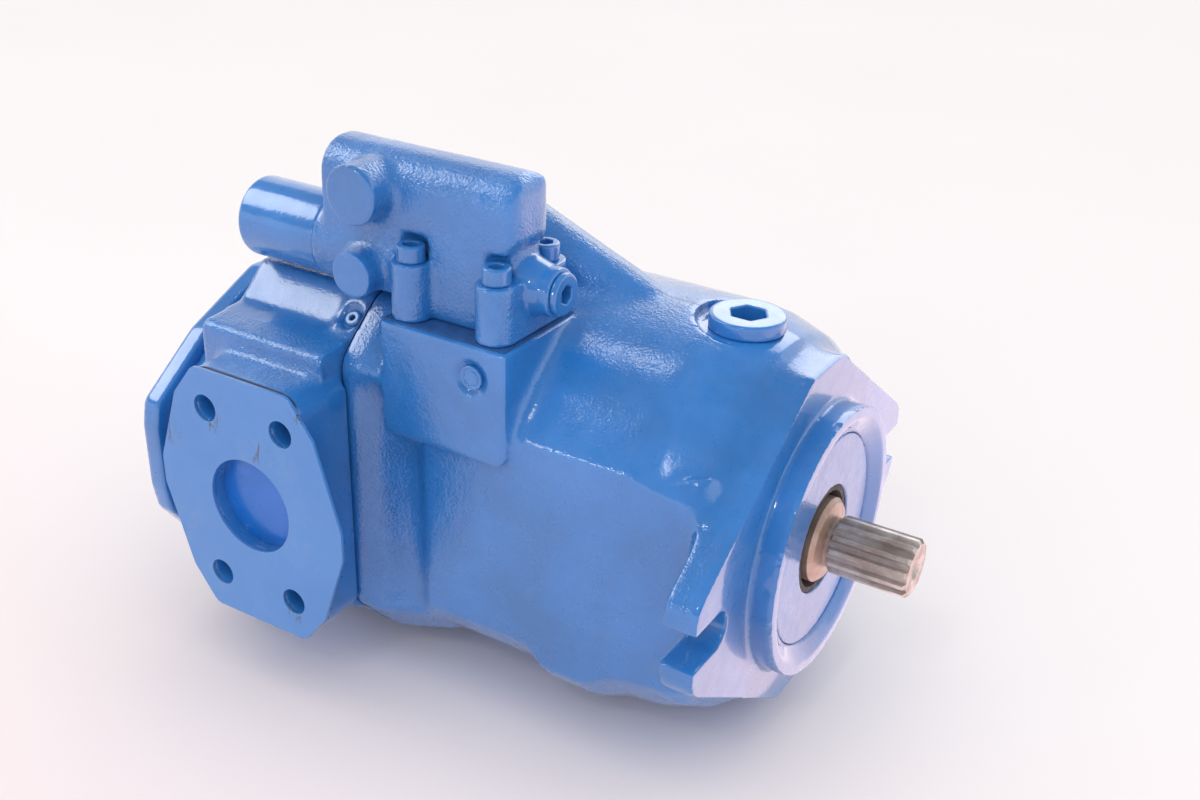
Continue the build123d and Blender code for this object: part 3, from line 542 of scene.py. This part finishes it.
def housing_soft(p):
    x, y, z = p.T
    cut = housing_cut(p)
    pad = pad_edges(p)
    crest = past(z, 82.0, 90.0) * before(np.abs(y), 24.0, 30.0) * before(-x, 140.0, 146.0)
    soft = 8.0 * (1 - pad) + 2.0 * pad + 34.0 * crest
    soft = np.where((from_axis(p) < CHAMBER_R) & (x > -154.0) & (z < 59.0), 4.0, soft)
    soft = soft * (1 - cut) + 0.8 * cut
    return np.where(at_pad_plug(p), 0.6, soft)


def housing_fill(p):
    x, y, z = p.T
    pad_side = past(x, -88.0, -84.0) * before(x, -66.0, -56.0) * past(-y, 20.0, 32.0) * past(z, 26.0, 36.0)
    fill = (45.0 - 41.0 * pad_edges(p) + 60.0 * pad_side) * (1 - housing_cut(p))
    inside = (from_axis(p) < CHAMBER_R) & (z < 59.0)
    return np.where(inside | at_pad_plug(p), 0.0, fill)


def housing_skin(p):
    x, y, z = p.T
    belly = past(-y, 62.0, 64.5) * before(z, 28.0, 36.0)
    grain = 0.30 + 0.70 * past(z, 70.0, 76.0) + 0.30 * belly + 0.4 * past(-x, 126.0, 132.0)
    return np.where(from_axis(p) < 58.0, 0.0, np.clip(grain, 0.0, 1.0) * (1.0 - housing_cut(p)))


casting("pump_housing", "housing_casting", 0.95, housing_soft, housing_fill, 0.09, housing_skin,
        housing_shape)


def port_cut(p):
    x, y, z = p.T
    joint = past(x, -157.0, -155.8)
    faces = past(np.abs(y), 94.5, 96.5)
    rear = past(-x, 226.0, 228.0)
    holes = np.max([before(np.hypot(y - sy, z - sz), 11.0, 13.0) for sy, sz in PORT_SCREWS], axis=0)
    return np.clip(joint + faces + rear + holes, 0.0, 1.0)


def port_inside(p):
    return (from_axis(p) < PORT_CHAMBER_R) | (np.hypot(p[:, 0] - PORT_X, p[:, 2]) < PORT_HALF)


def port_soft(p):
    cut = port_cut(p)
    return np.where(port_inside(p), 3.0, 4.5 * (1 - cut) + 1.5 * cut)


def port_fill(p):
    return np.where(port_inside(p), 0.0, 22.0 * (1 - port_cut(p)))


def port_skin(p):
    top = past(p[:, 2], 71.0, 72.2) + past(-p[:, 1], 70.0, 76.0) * past(p[:, 2], 46.0, 49.0)
    return np.clip(0.22 + top, 0.0, 1.0) * (1.0 - port_cut(p))


casting("port_plate", "port_plate_casting", 1.15, port_soft, port_fill, 0.10, port_skin)


def valve_cut(p):
    x, y, z = p.T
    cut = before(z, 75.0, 76.5)
    for sx, sy in SCREW_PLACES:
        rim = before(np.hypot(x - sx, y - sy), 7.6, 8.6) * past(z, 92.0, 93.6) * before(z, 97.0, 99.0)
        cut = np.maximum(cut, rim)
    boss = past(-y, 67.5, 68.5)
    nose = past(-x, 172.5, 173.5) + past(x, -81.5, -80.5)
    bore = before(np.hypot(y - SPOOL_Y, z - SPOOL_Z), 10.5, 11.5)
    return np.clip(cut + boss + nose + bore, 0.0, 1.0)


def valve_soft(p):
    cut = valve_cut(p)
    top_corner = before(np.hypot(p[:, 0] + 90.0, p[:, 2] - 128.0), 8.0, 14.0)
    return (9.0 + 22.0 * top_corner) * (1 - cut) + 2.0 * cut


def valve_fill(p):
    return 50.0 * (1 - valve_cut(p))


def valve_skin(p):
    return 1.0 - valve_cut(p)


casting("valve_body", "valve_casting", 0.62, valve_soft, valve_fill, 0.08, valve_skin)

# ---- painted machined pieces ----------------------------------------------------------------
# Node, voxel in millimetres and rounds of softening
PAINTED = [
    ("end_cover", 0.9, 5), ("end_cover_screws", 0.40, 3), ("port_plate_screws", 0.55, 3),
    ("drain_plug_top", 0.36, 4), ("drain_plug_bottom", 0.36, 4), ("pad_plug", 0.20, 3),
    ("port_plate_plug", 0.25, 3), ("valve_screws", 0.28, 4), ("valve_cap", 0.42, 5),
    ("spool_plug", 0.28, 4), ("gallery_plug", 0.28, 3),
]
for node, voxel, rounds in PAINTED:
    painted(node, node + "_painted", voxel, rounds, look_machined)
painted("shaft_seal_case", "seal_case_painted", 0.60, 3, look_seal_face)


# ---- spool spring, a fixed copy of the CAD spring ---------------------------------------------
def spool_spring_coil():
    """The spool spring: a fixed copy of the CAD spring's mesh in its place, with the CAD spring hidden."""
    coil = bpy.data.objects.new("spool_spring_coil", nodes["spool_spring"].data.copy())
    bpy.context.collection.objects.link(coil)
    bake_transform(coil)
    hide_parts("spool_spring")


spool_spring_coil()

# ---- floor, light and camera ------------------------------------------------------------------
floor_z = cad_box[0][2]


def stage_sheet(name, low, high, z, material, glossy_only=False):
    """Flat sheet of stage at height z, from corner low to corner high."""
    (x0, y0), (x1, y1) = low, high
    mesh = bpy.data.meshes.new(name)
    mesh.from_pydata([(x0, y0, z), (x1, y0, z), (x1, y1, z), (x0, y1, z)], [], [(0, 1, 2, 3)])
    sheet = bpy.data.objects.new(name, mesh)
    bpy.context.collection.objects.link(sheet)
    mesh.materials.append(material)
    if glossy_only:
        sheet.visible_camera = False
        sheet.visible_diffuse = False
        sheet.visible_shadow = False
        sheet.visible_transmission = False
    return sheet


def floor_look():
    """White paper with a band of painted pink light on it towards the camera."""
    look = Look("floor_paper")
    along = look.axis(1)
    # Painted pink light: a pink band laid on the white paper towards the camera.
    painted_pink_light = look.math("MULTIPLY", look.span(along, 0.15, -0.30), look.span(along, -1.8, -0.9))
    color = look.mix(painted_pink_light, (0.910, 0.880, 0.880), (0.900, 0.790, 0.785))
    color = look.mix(0.5, color, look.ramp(look.noise(3.0, 3.0), (0.3, 0.97), (0.7, 1.0)), "MULTIPLY")
    grain = look.bump(look.noise(400.0, 3.0), 0.05, 0.3)
    return look.set(color=color, rough=0.55, normal=grain, spec=0.0)


def glow_look(name, tone, strength):
    look = Look(name)
    look.shader.inputs["Base Color"].default_value = (0, 0, 0, 1)
    look.shader.inputs["Emission Color"].default_value = (*tone, 1)
    look.shader.inputs["Emission Strength"].default_value = strength
    return look.material


stage_sheet("floor", (-6, -4), (6, 8), floor_z, floor_look())
stage_sheet("flange_reflector", (0.012, -0.10), (0.80, 0.80), floor_z + 0.001,
            glow_look("flange_glow", (1.0, 0.78, 0.82), 1.7), glossy_only=True)


PUMP_MIDDLE = (-0.09, 0.0, 0.0)


def lamp_object(name, kind, place, power, tone=(1.0, 1.0, 1.0), reflected=True, lit=True):
    """Lamp aimed at the pump; reflected and lit say whether it shows in gloss and lights surfaces."""
    data = bpy.data.lights.new(name, kind)
    data.energy = power
    data.color = tone
    lamp = bpy.data.objects.new(name, data)
    bpy.context.collection.objects.link(lamp)
    lamp.location = place
    lamp.rotation_euler = (Vector(PUMP_MIDDLE) - Vector(place)).to_track_quat("-Z", "Y").to_euler()
    lamp.visible_diffuse = lit
    lamp.visible_glossy = reflected
    return data


def softbox(name, place, size, power, reflected=True, lit=True):
    data = lamp_object(name, "AREA", place, power, reflected=reflected, lit=lit)
    data.shape = "RECTANGLE"
    data.size, data.size_y = size


overhead = lamp_object("overhead", "SUN", (0.1, -0.1, 1.3), 0.95, (1.0, 0.985, 0.97), reflected=False)
overhead.angle = radians(75)
softbox("front_fill", (0.10, -1.30, 0.75), (0.9, 0.6), 2.0, reflected=False)
softbox("barrel_strip", (-0.57, 0.115, 1.14), (0.15, 0.17), 0.42, lit=False)
softbox("left_window", (-1.12, -0.42, 0.90), (0.75, 0.60), 6.6, lit=False)
softbox("back_glow", (-0.23, 1.25, 0.88), (1.0, 0.7), 4.6, lit=False)
softbox("flash", (0.07, -0.86, 0.84), (0.09, 0.09), 0.7)
softbox("side_flash", (-0.60, -1.08, 0.38), (0.09, 0.09), 0.6)

# Even light on surfaces; in gloss, a white sweep low down and a dim room above it
world = bpy.data.worlds.new("studio")
bpy.context.scene.world = world
sky = Shading(world, "Generated")
height = sky.math("MULTIPLY_ADD", sky.axis(1), -0.29, sky.axis(2))
room = sky.mix(sky.span(height, 0.41, 0.45), (1.15, 1.13, 1.15), (0.16, 0.16, 0.17))
in_gloss = sky.nodes.new("ShaderNodeLightPath").outputs["Is Glossy Ray"]
backdrop = sky.nodes["Background"]
backdrop.inputs["Strength"].default_value = 1.0
sky.put(sky.mix(in_gloss, (0.76, 0.75, 0.76), room), backdrop.inputs["Color"])
bpy.context.scene.view_settings.view_transform = "Standard"

camera_data = bpy.data.cameras.new("camera")
camera_data.sensor_width = 36.0
camera_data.lens = 41.34
camera_data.shift_x = -0.0107
camera_data.shift_y = 0.0388
camera_data.clip_start = 0.01
camera_data.clip_end = 30.0
camera = bpy.data.objects.new("camera", camera_data)
bpy.context.collection.objects.link(camera)
right = Vector((0.8576, 0.5128, 0.0399)).normalized()
back = Vector((0.4354, -0.7651, 0.4744)).normalized()
up = back.cross(right).normalized()
right = up.cross(back)
camera.matrix_world = Matrix((
    (right.x, up.x, back.x, 0.1482),
    (right.y, up.y, back.y, -0.4067),
    (right.z, up.z, back.z, 0.2624),
    (0, 0, 0, 1)))
bpy.context.scene.camera = camera
